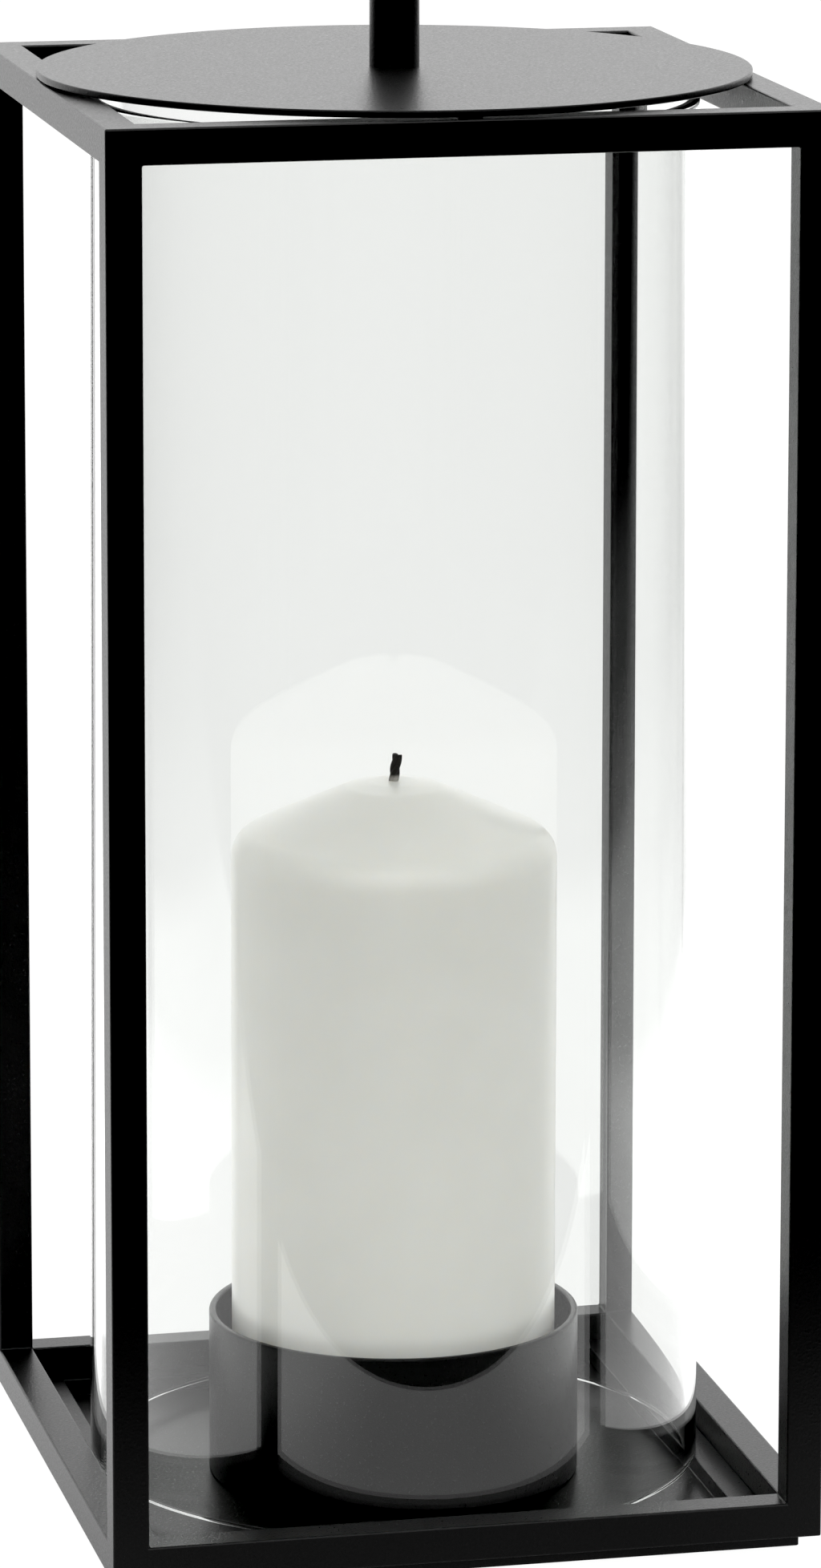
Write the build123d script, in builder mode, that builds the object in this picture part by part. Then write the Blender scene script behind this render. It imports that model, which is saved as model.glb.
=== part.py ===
from build123d import *
import os

# Candle lantern: open square frame of welded bars, stepped base tray, loose
# glass cylinder, candle in a low cup, and a flat disc lid with a rod handle.
# Millimetres, +Z up, origin at the middle of the resting plane under the pads.

# Frame of square bars
frame_width = 200.0
frame_height = 400.0
bar_size = 10.0

# Pads and base tray
pad_height = 2.0
pad_diameter = 16.0
pad_inset = 21.0
tray_rim_height = 4.0
tray_side_inset = 5.0
tray_fit_gap = 0.1
ledge_width = 8.0
ledge_rise = 2.0
floor_thickness = 1.2

# Countersunk screws through the tray rim into the bottom rails
tray_screw_diameter = 2.5
tray_screw_head_diameter = 4.4
tray_screw_head_height = 1.0
tray_screw_grip = 5.0
tray_screw_tip_gap = 0.5
screw_gap = 0.05

# Candle cup, sized round the candle
cup_side_gap = 4.5
cup_wall = 2.0
cup_height = 46.8
cup_floor = 3.0
cup_edge_radius = 0.6
cup_screw_diameter = 4.0
cup_screw_head_diameter = 7.0
cup_screw_head_height = 1.5
cup_screw_tip_gap = 0.3

# Glass cylinder, slightly wider at its foot
glass_foot_gap = 2.7
glass_taper = 1.9
glass_wall = 3.0
glass_top_drop = 5.0
glass_edge_radius = 1.0

# Pillar candle and wick
candle_diameter = 93.0
candle_corner_height = 182.1
candle_height = 198.5
candle_crown_radius = 14.0
candle_crown_drop = 1.6
candle_shoulder_radius = 8.5
candle_foot_radius = 1.5
wick_diameter = 3.0
wick_rise = 7.6
wick_lean = 1.1

# Lid and handle
lid_thickness = 2.0
lid_edge_radius = 0.4
lid_pad_diameter = 7.0
lid_pad_height = 0.6
handle_diameter = 14.0
handle_height = 45.0
handle_edge_radius = 0.8
handle_screw_diameter = 4.0
handle_screw_depth = 10.0
handle_screw_tip_gap = 1.0
handle_screw_head_diameter = 7.6
handle_screw_head_height = 2.4
washer_diameter = 9.0
washer_thickness = 0.8

# Levels and positions shared by several pieces
half_width = frame_width / 2
bar_centre = half_width - bar_size / 2
opening_width = frame_width - 2 * bar_size
tray_bottom = pad_height
frame_bottom = tray_bottom + tray_rim_height
frame_top = frame_bottom + frame_height
rail_length = opening_width
ledge_top = frame_bottom + ledge_rise
floor_top = tray_bottom + floor_thickness
tray_width = frame_width - 2 * tray_side_inset
tray_lip_width = opening_width - 2 * tray_fit_gap
recess_width = opening_width - 2 * ledge_width
tray_screw_offset = half_width - bar_size * 3 / 4
cup_bottom = floor_top
cup_floor_top = cup_bottom + cup_floor
glass_bottom = ledge_top
glass_top = frame_top - glass_top_drop
glass_foot_radius = opening_width / 2 - glass_foot_gap
glass_rim_radius = glass_foot_radius - glass_taper
candle_bottom = cup_floor_top
candle_radius = candle_diameter / 2
cup_inner_radius = candle_radius + cup_side_gap
cup_outer_radius = cup_inner_radius + cup_wall
lid_bottom = frame_top + lid_pad_height
lid_top = lid_bottom + lid_thickness
handle_top = lid_top + handle_height
pad_centre = half_width - pad_inset

os.makedirs("parts", exist_ok=True)


def finish(builder, name):
    """Label one piece and write it as its own STEP file."""
    builder.part.label = name
    export_step(builder.part, f"parts/{name}.step")


# Corner posts, full height
corners = {
    "post_front_left": (-bar_centre, -bar_centre),
    "post_front_right": (bar_centre, -bar_centre),
    "post_back_left": (-bar_centre, bar_centre),
    "post_back_right": (bar_centre, bar_centre),
}
for post_name, (post_x, post_y) in corners.items():
    with BuildPart() as post:
        with BuildSketch(Plane.XY.offset(frame_bottom)):
            with Locations((post_x, post_y)):
                Rectangle(bar_size, bar_size)
        extrude(amount=frame_height)
    finish(post, post_name)

# Top rails, butted between the posts
sides = {
    "front": (0, -1),
    "back": (0, 1),
    "left": (-1, 0),
    "right": (1, 0),
}
for side, (side_x, side_y) in sides.items():
    rail_x = rail_length if side_x == 0 else bar_size
    rail_y = rail_length if side_y == 0 else bar_size
    with BuildPart() as top_rail:
        with BuildSketch(Plane.XY.offset(frame_top - bar_size)):
            with Locations((side_x * bar_centre, side_y * bar_centre)):
                Rectangle(rail_x, rail_y)
        extrude(amount=bar_size)
    finish(top_rail, f"top_rail_{side}")

# Bottom rails, each with a tapped hole from below for a tray screw
for side, (side_x, side_y) in sides.items():
    rail_x = rail_length if side_x == 0 else bar_size
    rail_y = rail_length if side_y == 0 else bar_size
    with BuildPart() as bottom_rail:
        with BuildSketch(Plane.XY.offset(frame_bottom)):
            with Locations((side_x * bar_centre, side_y * bar_centre)):
                Rectangle(rail_x, rail_y)
        extrude(amount=bar_size)
        with BuildSketch(Plane.XY.offset(frame_bottom)):
            with Locations((side_x * tray_screw_offset, side_y * tray_screw_offset)):
                Circle(tray_screw_diameter / 2 + screw_gap)
        extrude(amount=tray_screw_grip + tray_screw_tip_gap, mode=Mode.SUBTRACT)
    finish(bottom_rail, f"bottom_rail_{side}")

# Stepped base tray: rim under the rails, raised lip inside them, square recess
screw_spots = [(x * tray_screw_offset, y * tray_screw_offset) for x, y in sides.values()]
with BuildPart() as base_tray:
    with BuildSketch(Plane.XY.offset(tray_bottom)):
        Rectangle(tray_width, tray_width)
    extrude(amount=tray_rim_height)
    with BuildSketch(Plane.XY.offset(frame_bottom)):
        Rectangle(tray_lip_width, tray_lip_width)
    extrude(amount=ledge_rise)
    with BuildSketch(Plane.XY.offset(floor_top)):
        Rectangle(recess_width, recess_width)
    extrude(amount=ledge_top - floor_top, mode=Mode.SUBTRACT)
    with BuildSketch(Plane.XY.offset(tray_bottom)):
        with Locations(*screw_spots):
            Circle(tray_screw_diameter / 2 + screw_gap)
        Circle(cup_screw_diameter / 2 + screw_gap)
    extrude(amount=tray_rim_height + ledge_rise, mode=Mode.SUBTRACT)
    for screw_x, screw_y in screw_spots:
        with BuildSketch(Plane.XY.offset(tray_bottom)):
            with Locations((screw_x, screw_y)):
                Circle(tray_screw_head_diameter / 2 + screw_gap)
        with BuildSketch(Plane.XY.offset(tray_bottom + tray_screw_head_height)):
            with Locations((screw_x, screw_y)):
                Circle(tray_screw_diameter / 2 + screw_gap)
        loft(mode=Mode.SUBTRACT)
finish(base_tray, "base_tray")

# Four countersunk tray screws
with BuildPart() as tray_screws:
    for screw_x, screw_y in screw_spots:
        with BuildSketch(Plane.XY.offset(tray_bottom)):
            with Locations((screw_x, screw_y)):
                Circle(tray_screw_head_diameter / 2)
        with BuildSketch(Plane.XY.offset(tray_bottom + tray_screw_head_height)):
            with Locations((screw_x, screw_y)):
                Circle(tray_screw_diameter / 2)
        loft()
    with BuildSketch(Plane.XY.offset(tray_bottom + tray_screw_head_height)):
        with Locations(*screw_spots):
            Circle(tray_screw_diameter / 2)
    extrude(amount=tray_rim_height - tray_screw_head_height + tray_screw_grip)
finish(tray_screws, "tray_screws")

# Four felt pads under the tray corners
with BuildPart() as base_pads:
    with BuildSketch(Plane.XY):
        with GridLocations(2 * pad_centre, 2 * pad_centre, 2, 2):
            Circle(pad_diameter / 2)
    extrude(amount=pad_height)
finish(base_pads, "base_pads")

# Drawn candle cup with a tapped hole in its floor
with BuildPart() as candle_cup:
    with BuildSketch(Plane.XY.offset(cup_bottom)):
        Circle(cup_outer_radius)
    extrude(amount=cup_height)
    with BuildSketch(Plane.XY.offset(cup_floor_top)):
        Circle(cup_inner_radius)
    extrude(amount=cup_height - cup_floor, mode=Mode.SUBTRACT)
    fillet(candle_cup.edges().group_by(Axis.Z)[-1], radius=cup_edge_radius)
    fillet(candle_cup.edges().group_by(Axis.Z)[0], radius=cup_edge_radius)
    with BuildSketch(Plane.XY.offset(cup_bottom)):
        Circle(cup_screw_diameter / 2 + screw_gap)
    extrude(amount=cup_floor, mode=Mode.SUBTRACT)
finish(candle_cup, "candle_cup")

# Pan-head screw that holds the cup from under the tray
with BuildPart() as cup_screw:
    with BuildSketch(Plane.XY.offset(tray_bottom - cup_screw_head_height)):
        Circle(cup_screw_head_diameter / 2)
    extrude(amount=cup_screw_head_height)
    with BuildSketch(Plane.XY.offset(tray_bottom)):
        Circle(cup_screw_diameter / 2)
    extrude(amount=floor_thickness + cup_floor - cup_screw_tip_gap)
finish(cup_screw, "cup_screw")

# Glass cylinder, open at both ends, fire-polished rims
with BuildPart() as glass_cylinder:
    with BuildSketch(Plane.XZ):
        with BuildLine():
            Polyline(
                (glass_foot_radius - glass_wall, glass_bottom),
                (glass_foot_radius, glass_bottom),
                (glass_rim_radius, glass_top),
                (glass_rim_radius - glass_wall, glass_top),
                close=True,
            )
        make_face()
    revolve(axis=Axis.Z)
    fillet(glass_cylinder.edges().group_by(Axis.Z)[-1], radius=glass_edge_radius)
    fillet(glass_cylinder.edges().group_by(Axis.Z)[0], radius=glass_edge_radius)
finish(glass_cylinder, "glass_cylinder")

# Pillar candle: straight side, rounded shoulder, shallow cone, soft crown
corner_z = candle_bottom + candle_corner_height
cone_top_z = candle_bottom + candle_height - candle_crown_drop
crown_z = candle_bottom + candle_height
with BuildPart() as candle_body:
    with BuildSketch(Plane.XZ):
        with BuildLine():
            Polyline(
                (0, crown_z),
                (0, candle_bottom),
                (candle_radius, candle_bottom),
                (candle_radius, corner_z),
                (candle_crown_radius, cone_top_z),
            )
            ThreePointArc(
                (candle_crown_radius, cone_top_z),
                (candle_crown_radius / 2, crown_z - candle_crown_drop / 4),
                (0, crown_z),
            )
        make_face()
    revolve(axis=Axis.Z)
    side_edges = candle_body.edges().filter_by(GeomType.CIRCLE)
    rim_edges = side_edges.filter_by(lambda edge: abs(edge.radius - candle_radius) < cup_edge_radius)
    fillet(rim_edges.sort_by(Axis.Z)[-1], radius=candle_shoulder_radius)
    foot_edges = candle_body.edges().group_by(Axis.Z)[0]
    fillet(foot_edges, radius=candle_foot_radius)
    with BuildSketch(Plane.XY.offset(candle_bottom)):
        Circle(wick_diameter / 2 + screw_gap)
    extrude(amount=candle_height, mode=Mode.SUBTRACT)
finish(candle_body, "candle_body")

# Wick: straight through the wax, leaning above it
with BuildPart() as wick:
    with BuildLine():
        wick_core = Line((0, 0, candle_bottom), (0, 0, crown_z))
        Spline(
            (0, 0, crown_z),
            (wick_lean, 0, crown_z + wick_rise),
            tangents=((0, 0, 1), (wick_lean, 0, wick_rise)),
        )
    with BuildSketch(Plane.XY.offset(candle_bottom)):
        Circle(wick_diameter / 2)
    sweep()
finish(wick, "wick")

# Disc lid with a clearance hole for the handle screw
with BuildPart() as lid_disc:
    with BuildSketch(Plane.XY.offset(lid_bottom)):
        Circle(half_width)
    extrude(amount=lid_thickness)
    fillet(lid_disc.edges().group_by(Axis.Z)[-1], radius=lid_edge_radius)
    fillet(lid_disc.edges().group_by(Axis.Z)[0], radius=lid_edge_radius)
    with BuildSketch(Plane.XY.offset(lid_bottom)):
        Circle(handle_screw_diameter / 2 + screw_gap)
    extrude(amount=lid_thickness, mode=Mode.SUBTRACT)
finish(lid_disc, "lid_disc")

# Four bumper dots that keep the lid off the top rails
with BuildPart() as lid_bumpers:
    with BuildSketch(Plane.XY.offset(frame_top)):
        with PolarLocations(bar_centre, len(sides)):
            Circle(lid_pad_diameter / 2)
    extrude(amount=lid_pad_height)
finish(lid_bumpers, "lid_bumpers")

# Round rod handle, tapped from below
with BuildPart() as handle_post:
    with BuildSketch(Plane.XY.offset(lid_top)):
        Circle(handle_diameter / 2)
    extrude(amount=handle_height)
    fillet(handle_post.edges().group_by(Axis.Z)[-1], radius=handle_edge_radius)
    with BuildSketch(Plane.XY.offset(lid_top)):
        Circle(handle_screw_diameter / 2 + screw_gap)
    extrude(amount=handle_screw_depth + handle_screw_tip_gap, mode=Mode.SUBTRACT)
finish(handle_post, "handle_post")

# Washer and pan-head screw that hold the handle from under the lid
with BuildPart() as handle_washer:
    with BuildSketch(Plane.XY.offset(lid_bottom - washer_thickness)):
        Circle(washer_diameter / 2)
        Circle(handle_screw_diameter / 2 + screw_gap, mode=Mode.SUBTRACT)
    extrude(amount=washer_thickness)
finish(handle_washer, "handle_washer")

with BuildPart() as handle_screw:
    with BuildSketch(Plane.XY.offset(lid_bottom - washer_thickness)):
        Circle(handle_screw_head_diameter / 2)
    extrude(amount=-handle_screw_head_height)
    with BuildSketch(Plane.XY.offset(lid_bottom - washer_thickness)):
        Circle(handle_screw_diameter / 2)
    extrude(amount=washer_thickness + lid_thickness + handle_screw_depth)
finish(handle_screw, "handle_screw")
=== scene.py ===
"""Candle lantern: the visible pieces, finishes and studio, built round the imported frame."""

import logging
import math
from dataclasses import dataclass, field
from enum import Enum
from typing import Callable, Iterable, Optional, Sequence

import bmesh
import bpy
from mathutils import Matrix, Vector


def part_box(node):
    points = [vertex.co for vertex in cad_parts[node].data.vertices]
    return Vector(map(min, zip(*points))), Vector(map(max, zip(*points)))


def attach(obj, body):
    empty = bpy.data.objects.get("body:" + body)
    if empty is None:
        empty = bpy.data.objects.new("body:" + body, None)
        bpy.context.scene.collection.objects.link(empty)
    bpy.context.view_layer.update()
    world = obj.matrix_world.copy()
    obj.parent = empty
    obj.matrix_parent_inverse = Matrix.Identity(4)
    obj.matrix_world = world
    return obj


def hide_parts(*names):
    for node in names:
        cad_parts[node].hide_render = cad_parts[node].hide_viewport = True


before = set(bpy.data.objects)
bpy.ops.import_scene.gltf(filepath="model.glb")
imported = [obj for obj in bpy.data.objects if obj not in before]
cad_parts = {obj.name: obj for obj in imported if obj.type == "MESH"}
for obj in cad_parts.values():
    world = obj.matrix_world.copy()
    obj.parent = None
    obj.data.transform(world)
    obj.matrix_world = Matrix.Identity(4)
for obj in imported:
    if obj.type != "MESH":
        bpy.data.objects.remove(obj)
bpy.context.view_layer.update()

logging.basicConfig(level=logging.INFO, format="%(name)s: %(message)s")
LOG = logging.getLogger("lantern")

MM = 0.001

Profile = list[tuple[float, float]]
Corner = tuple[float, float, float]
Levels = tuple[tuple[float, float], ...]


class Body(Enum):
    """The rigid bodies of the part."""

    FRAME = "frame"
    GLASS = "glass"
    CANDLE = "candle"
    LID = "lid"


class Side(Enum):
    """The four sides of the frame, as the axis each one faces along."""

    FRONT = (0, -1)
    BACK = (0, 1)
    LEFT = (-1, 0)
    RIGHT = (1, 0)


class Axis(Enum):
    """Row axes by index."""

    X = 0
    Y = 1
    Z = 2


# ---------------------------------------------------------------- small tools


def linear(code: str) -> tuple[float, float, float, float]:
    """Turn an sRGB hex colour into linear RGBA.

    Args:
        code: Colour as six hex digits, such as "1A1A1A".

    Returns:
        Linear red, green, blue and an alpha of one.
    """
    parts = [int(code[i : i + 2], 16) / 255 for i in (0, 2, 4)]
    lin = [c / 12.92 if c <= 0.04045 else ((c + 0.055) / 1.055) ** 2.4 for c in parts]
    return (lin[0], lin[1], lin[2], 1.0)


def add_node(
    tree: bpy.types.NodeTree,
    kind: str,
    settings: Optional[dict] = None,
    inputs: Optional[dict] = None,
) -> bpy.types.Node:
    """Add one node with its settings and its inputs.

    Args:
        tree: The node tree that gets the node.
        kind: The node's type name.
        settings: Attribute values set on the node first.
        inputs: Socket name or index to a value, or to an output socket to link from.

    Returns:
        The new node.
    """
    node = tree.nodes.new(kind)
    for key, value in (settings or {}).items():
        setattr(node, key, value)
    fill(tree, node, inputs or {})
    return node


def fill(tree: bpy.types.NodeTree, node: bpy.types.Node, inputs: dict) -> None:
    """Set a node's inputs: socket name or index to a value, or to an output to link from."""
    for key, value in inputs.items():
        if isinstance(value, bpy.types.NodeSocket):
            tree.links.new(value, node.inputs[key])
        else:
            node.inputs[key].default_value = value


def maths(tree: bpy.types.NodeTree, operation: str, *values: object) -> bpy.types.NodeSocket:
    """Add one sum on numbers or sockets and give its result."""
    node = add_node(tree, "ShaderNodeMath", {"operation": operation}, dict(enumerate(values)))
    return node.outputs["Value"]


def object_place(tree: bpy.types.NodeTree) -> bpy.types.NodeSocket:
    """Give the place on the object, in metres."""
    return add_node(tree, "ShaderNodeTexCoord").outputs["Object"]


def noise(tree: bpy.types.NodeTree, size_mm: float, **more: float) -> bpy.types.NodeSocket:
    """Add a noise texture in Object coordinates and give its level.

    Args:
        tree: The material's tree.
        size_mm: Size of one grain, in millimetres.
        more: Other inputs of the texture, by name.

    Returns:
        The socket with the level, from zero to one.
    """
    values = {"Vector": object_place(tree), "Scale": 1.0 / (size_mm * MM), **more}
    return add_node(tree, "ShaderNodeTexNoise", inputs=values).outputs["Fac"]


def blend(
    tree: bpy.types.NodeTree, share: bpy.types.NodeSocket, first: object, second: object
) -> bpy.types.NodeSocket:
    """Mix two colours, each a hex code or a socket, and give the result."""
    pair = [linear(colour) if isinstance(colour, str) else colour for colour in (first, second)]
    inputs = {"Factor": share, 6: pair[0], 7: pair[1]}
    return add_node(tree, "ShaderNodeMix", {"data_type": "RGBA"}, inputs).outputs[2]


def bump(
    tree: bpy.types.NodeTree,
    height: bpy.types.NodeSocket,
    strength: float,
    distance: float,
    **more: bpy.types.NodeSocket,
) -> bpy.types.NodeSocket:
    """Add a bump of the given strength and depth, and give its normal."""
    values = {"Height": height, "Strength": strength, "Distance": distance, **more}
    return add_node(tree, "ShaderNodeBump", inputs=values).outputs["Normal"]


def rounded_profile(corners: Sequence[Corner], steps: int = 5, closed: bool = False) -> Profile:
    """Round the corners of a profile with arcs.

    Args:
        corners: Points as (radius, height, rounding), in metres.
        steps: Segments in each rounded corner.
        closed: Whether the last corner joins the first.

    Returns:
        The profile's points, in order.
    """
    points: Profile = []
    count = len(corners)
    for index, (r, z, rounding) in enumerate(corners):
        here = Vector((r, z))
        at_end = index in (0, count - 1) and not closed
        if rounding <= 0 or at_end:
            points.append((r, z))
            continue
        before = Vector(corners[index - 1][:2]) - here
        after = Vector(corners[(index + 1) % count][:2]) - here
        half = before.angle(after) / 2
        reach = rounding / math.tan(half)
        start = here + before.normalized() * reach
        end = here + after.normalized() * reach
        centre = here + (before.normalized() + after.normalized()).normalized() * (
            rounding / math.sin(half)
        )
        first = math.atan2(start.y - centre.y, start.x - centre.x)
        turn = math.atan2(end.y - centre.y, end.x - centre.x) - first
        turn = (turn + math.pi) % (2 * math.pi) - math.pi
        for step in range(steps + 1):
            angle = first + turn * step / steps
            points.append(
                (centre.x + rounding * math.cos(angle), centre.y + rounding * math.sin(angle))
            )
    return points


def disc_profile(
    radius: float, low: float, high: float, rounding: tuple[float, float], steps: int
) -> Profile:
    """Give the profile of a round disc or rod.

    Args:
        radius: Its radius.
        low: Height of its bottom.
        high: Height of its top.
        rounding: Rounding of its lower and its upper edge.
        steps: Segments in each rounded edge.

    Returns:
        The profile, from the axis at the bottom to the axis at the top.
    """
    below, above = rounding
    corners = [(0, low, 0), (radius, low, below), (radius, high, above), (0, high, 0)]
    return rounded_profile(corners, steps)


def held(profile: Profile, closed: bool, margin: float = 0.25 * MM) -> Profile:
    """Add points close to both ends of long straights, so shading stays flat between them.

    Args:
        profile: Points as (radius, height), in metres.
        closed: Whether the last point joins the first.
        margin: Distance of the added points from the ends.

    Returns:
        The longer profile.
    """
    points: Profile = []
    ends = profile[1:] + profile[:1] if closed else profile[1:]
    for (r0, z0), (r1, z1) in zip(profile, ends):
        points.append((r0, z0))
        share = margin / max(math.hypot(r1 - r0, z1 - z0), 1e-9)
        if share < 0.2:
            for t in (share, 1 - share):
                points.append((r0 + (r1 - r0) * t, z0 + (z1 - z0) * t))
    if not closed:
        points.append(profile[-1])
    return points


def place_mesh(name: str, bm: bmesh.types.BMesh) -> bpy.types.Object:
    """Turn a bmesh into a linked object at the origin; the bmesh is freed."""
    mesh = bpy.data.meshes.new(name)
    bm.to_mesh(mesh)
    bm.free()
    piece = bpy.data.objects.new(name, mesh)
    bpy.context.scene.collection.objects.link(piece)
    return piece


def finish_mesh(name: str, bm: bmesh.types.BMesh, smooth: Optional[float]) -> bpy.types.Object:
    """Turn a bmesh into a linked object with outward normals.

    Args:
        name: The object's name.
        bm: The mesh; it is freed.
        smooth: Angle in degrees above which edges stay sharp, or None for flat faces.

    Returns:
        The new object at the origin.
    """
    bmesh.ops.recalc_face_normals(bm, faces=bm.faces)
    piece = place_mesh(name, bm)
    if smooth is not None:
        soften(piece.data, smooth)
    return piece


def soften(mesh: bpy.types.Mesh, smooth: float) -> None:
    """Shade a mesh smooth, except at edges above the given angle in degrees."""
    mesh.polygons.foreach_set("use_smooth", [True] * len(mesh.polygons))
    mesh.set_sharp_from_angle(angle=math.radians(smooth))


def bridge(bm: bmesh.types.BMesh, loops: list[list[bmesh.types.BMVert]], closed: bool) -> None:
    """Join neighbouring loops of vertices with faces.

    Args:
        bm: The mesh that owns the loops.
        loops: Rings of equal length, or single vertices at a pole.
        closed: Whether the last loop joins the first.
    """
    pairs = list(zip(loops, loops[1:] + loops[:1] if closed else loops[1:]))
    for low, high in pairs:
        count = max(len(low), len(high))
        for i in range(count):
            j = (i + 1) % count
            quad = [low[i % len(low)], low[j % len(low)], high[j % len(high)], high[i % len(high)]]
            face = list(dict.fromkeys(quad))
            if len(face) > 2:
                bm.faces.new(face)


def lathe(
    name: str,
    profile: Profile,
    segments: int,
    closed: bool = False,
    smooth: float = 32.0,
    wobble: Optional[Callable[[float, float, float], float]] = None,
) -> bpy.types.Object:
    """Revolve a profile about the Z axis.

    Args:
        name: The object's name.
        profile: Points as (radius, height), in metres.
        segments: Number of steps round the axis.
        closed: Whether the profile is a closed loop.
        smooth: Angle in degrees above which edges stay sharp.
        wobble: Optional change of radius for (angle, radius, height), in metres.

    Returns:
        The new object.
    """
    bm = bmesh.new()
    loops = []
    for r, z in held(profile, closed):
        if r < 1e-7:
            loops.append([bm.verts.new((0, 0, z))])
            continue
        ring = []
        for i in range(segments):
            angle = 2 * math.pi * i / segments
            radius = r + (wobble(angle, r, z) if wobble else 0.0)
            ring.append(bm.verts.new((radius * math.cos(angle), radius * math.sin(angle), z)))
        loops.append(ring)
    bridge(bm, loops, closed)
    return finish_mesh(name, bm, smooth)


def rounded_square(half: float, corner: float, steps: int) -> list[tuple[float, float]]:
    """Give the points of a square with round corners.

    Args:
        half: Half the square's width.
        corner: Corner radius.
        steps: Segments in each corner.

    Returns:
        The points, counter-clockwise.
    """
    points = []
    for quarter in range(4):
        start = quarter * math.pi / 2
        cx = math.copysign(half - corner, math.cos(start + math.pi / 4))
        cy = math.copysign(half - corner, math.sin(start + math.pi / 4))
        for step in range(steps + 1):
            angle = start + math.pi / 2 * step / steps
            points.append((cx + corner * math.cos(angle), cy + corner * math.sin(angle)))
    return points


def square_lathe(name: str, profile: Profile, corner: float, steps: int) -> bpy.types.Object:
    """Sweep a profile round a square path.

    Args:
        name: The object's name.
        profile: Points as (half width, height), from the middle of one face to the other.
        corner: Corner radius of the outermost loop; inner loops keep the same radius.
        steps: Segments in each corner.

    Returns:
        The new object.
    """
    bm = bmesh.new()
    loops = []
    for half, z in profile:
        ring = rounded_square(half, min(corner, half), steps)
        loops.append([bm.verts.new((x, y, z)) for x, y in ring])
    bridge(bm, loops, closed=False)
    bm.faces.new(loops[0])
    bm.faces.new(loops[-1])
    return finish_mesh(name, bm, smooth=None)


def dress(
    piece: bpy.types.Object,
    material: bpy.types.Material,
    body: Body,
    nodes: Iterable[str],
) -> bpy.types.Object:
    """Give a piece its finish, its body and the CAD nodes it stands for.

    Args:
        piece: The finished object.
        material: Its material.
        body: The body that carries it.
        nodes: CAD nodes that it replaces.

    Returns:
        The same piece.
    """
    if not piece.data.materials:
        piece.data.materials.append(material)
    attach(piece, body.value)
    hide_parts(*nodes)
    LOG.info(
        "%s: %d faces, rides %s, stands for %s",
        piece.name,
        len(piece.data.polygons),
        body.value,
        ", ".join(nodes),
    )
    return piece


# ------------------------------------------------------------------- finishes


def new_material(name: str) -> tuple[bpy.types.Material, bpy.types.NodeTree, bpy.types.Node]:
    """Start a node material.

    Args:
        name: The material's name.

    Returns:
        The material, its node tree and its Principled shader.
    """
    material = bpy.data.materials.new(name)
    material.use_nodes = True
    tree = material.node_tree
    tree.nodes.clear()
    shader = add_node(tree, "ShaderNodeBsdfPrincipled")
    add_node(tree, "ShaderNodeOutputMaterial", inputs={"Surface": shader.outputs["BSDF"]})
    return material, tree, shader


@dataclass(frozen=True)
class PowderCoat:
    """Polyester powder coat on steel, fine-textured satin black.

    Baked powder leaves a pebbled skin: near-black face on, but it catches a
    broad grey sheen at a low angle, with small bright specks.
    """

    name: str = "powder_coat_black"
    colour: str = "030303"
    speck: str = "101010"
    ior: float = 1.25
    roughness: tuple[float, float] = (0.26, 0.36)
    grain_mm: float = 0.8
    peel_mm: float = 4.0
    grain_bump: float = 0.42
    peel_bump: float = 0.07

    def material(self) -> bpy.types.Material:
        """Build the material."""
        material, tree, shader = new_material(self.name)
        grain = noise(tree, self.grain_mm, Detail=3.0, Roughness=0.6)
        peel = noise(tree, self.peel_mm, Detail=1.0)
        rough = add_node(
            tree,
            "ShaderNodeMapRange",
            inputs={
                "Value": grain,
                "From Min": 0.3,
                "From Max": 0.7,
                "To Min": self.roughness[1],
                "To Max": self.roughness[0],
            },
        )
        fine = bump(tree, grain, self.grain_bump, self.grain_mm * MM / 4)
        broad = bump(tree, peel, self.peel_bump, self.peel_mm * MM / 20, Normal=fine)
        values = {
            "Base Color": blend(tree, grain, self.colour, self.speck),
            "Roughness": rough.outputs["Result"],
            "Normal": broad,
            "IOR": self.ior,
        }
        fill(tree, shader, values)
        return material


@dataclass(frozen=True)
class ClearGlass:
    """Drawn soda-lime glass tube, polished: colourless face on, grey-green only through its rim.

    Shadow and diffuse rays pass straight through it with a slight tint. Other rays meet
    real glass, which bends and mirrors what is seen through it.
    """

    name: str = "glass_clear_soda_lime"
    colour: str = "FBFCFB"
    ior: float = 1.52
    passed_light: str = "FAFBFA"

    def material(self) -> bpy.types.Material:
        """Build the material."""
        material, tree, shader = new_material(self.name)
        values = {
            "Base Color": linear(self.colour),
            "IOR": self.ior,
            "Roughness": 0.0,
            "Transmission Weight": 1.0,
        }
        fill(tree, shader, values)
        path = add_node(tree, "ShaderNodeLightPath").outputs
        lighting = maths(tree, "MAXIMUM", path["Is Shadow Ray"], path["Is Diffuse Ray"])
        tint = {"Color": linear(self.passed_light)}
        passing = add_node(tree, "ShaderNodeBsdfTransparent", inputs=tint)
        surface = add_node(
            tree,
            "ShaderNodeMixShader",
            inputs={0: lighting, 1: shader.outputs[0], 2: passing.outputs[0]},
        )
        out = next(node for node in tree.nodes if node.type == "OUTPUT_MATERIAL")
        tree.links.new(surface.outputs[0], out.inputs["Surface"])
        return material


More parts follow.
